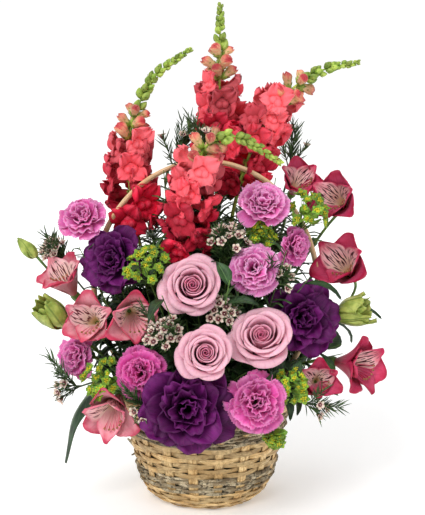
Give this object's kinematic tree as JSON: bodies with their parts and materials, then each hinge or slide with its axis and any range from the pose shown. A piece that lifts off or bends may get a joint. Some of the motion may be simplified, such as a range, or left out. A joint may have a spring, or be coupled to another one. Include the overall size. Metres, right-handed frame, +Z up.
{
  "type": "flower basket arrangement",
  "caption": "Round woven bamboo basket with a hoop handle, filled with mixed cut flowers in pink, purple and red, tall flower spikes and greenery.",
  "frame": {"origin": "centre of the basket's flat base, on the surface it stands on", "axes": "+Z up, from the base towards the tall flower spikes; -Y towards the arrangement's front; the handle's hoop lies in the XZ plane"},
  "size_m": [0.3807, 0.2628, 0.5221],
  "materials": {
    "bamboo_splint": "dry split bamboo",
    "willow_bark": "rough grey-brown bark weavers",
    "liner_plastic": "thin moulded plastic",
    "wet_floral_foam": "soaked open foam",
    "rose_petal": "soft lavender-pink petals",
    "lisianthus_petal": "deep purple petals",
    "bud_green": "pale green buds",
    "carnation_petal": "ruffled orchid-pink petals",
    "alstroemeria_petal": "crimson to pale pink streaked petals",
    "snapdragon_petal": "coral-red florets and green buds",
    "waxflower": "small blush flowers with dark red centres",
    "bupleurum": "yellow-green umbels",
    "dark_leaf": "satin dark green leaves"
  },
  "bodies": {
    "root": {"basket_wall": "willow_bark", "basket_base": "bamboo_splint", "rim_band_outer": "bamboo_splint", "rim_band_inner": "bamboo_splint", "handle_hoop": "bamboo_splint", "liner": "liner_plastic", "floral_foam": "wet_floral_foam", "rose_upper": "rose_petal", "rose_right": "rose_petal", "rose_lower": "rose_petal", "lisianthus_left": "lisianthus_petal", "lisianthus_right": "lisianthus_petal", "lisianthus_front": "lisianthus_petal", "lisianthus_bud_closed": "bud_green", "lisianthus_bud_left": "bud_green", "lisianthus_bud_right": "bud_green", "carnation_top_left": "carnation_petal", "carnation_top_right": "carnation_petal", "carnation_centre": "carnation_petal", "carnation_right": "carnation_petal", "carnation_low_left": "carnation_petal", "carnation_low_centre": "carnation_petal", "carnation_low_right": "carnation_petal", "alstroemeria_top_right": "alstroemeria_petal", "alstroemeria_top_back": "alstroemeria_petal", "alstroemeria_right": "alstroemeria_petal", "alstroemeria_low_right": "alstroemeria_petal", "alstroemeria_low_inner": "alstroemeria_petal", "alstroemeria_left": "alstroemeria_petal", "alstroemeria_mid_left": "alstroemeria_petal", "alstroemeria_inner_left": "alstroemeria_petal", "alstroemeria_low_left": "alstroemeria_petal", "snapdragon_left": "snapdragon_petal", "snapdragon_centre": "snapdragon_petal", "snapdragon_right": "snapdragon_petal", "snapdragon_front": "snapdragon_petal", "waxflower_centre": "waxflower", "waxflower_inner": "waxflower", "waxflower_left": "waxflower", "waxflower_top": "waxflower", "waxflower_right": "waxflower", "waxflower_low_right": "waxflower", "waxflower_low_left": "waxflower", "waxflower_low_front": "waxflower", "waxflower_far_left": "waxflower", "waxflower_back_left": "waxflower", "waxflower_back_right": "waxflower", "bupleurum_left": "bupleurum", "bupleurum_right": "bupleurum", "bupleurum_centre": "bupleurum", "bupleurum_low_left": "bupleurum", "bupleurum_low_right": "bupleurum", "bupleurum_trailing": "bupleurum", "leaf_low_left": "dark_leaf", "leaf_back_left": "dark_leaf", "leaf_back_right": "dark_leaf", "leaf_back_high": "dark_leaf", "leaf_back_low": "dark_leaf", "leaf_back_low_left": "dark_leaf", "leaf_back_low_right": "dark_leaf"}
  },
  "joints": []
}
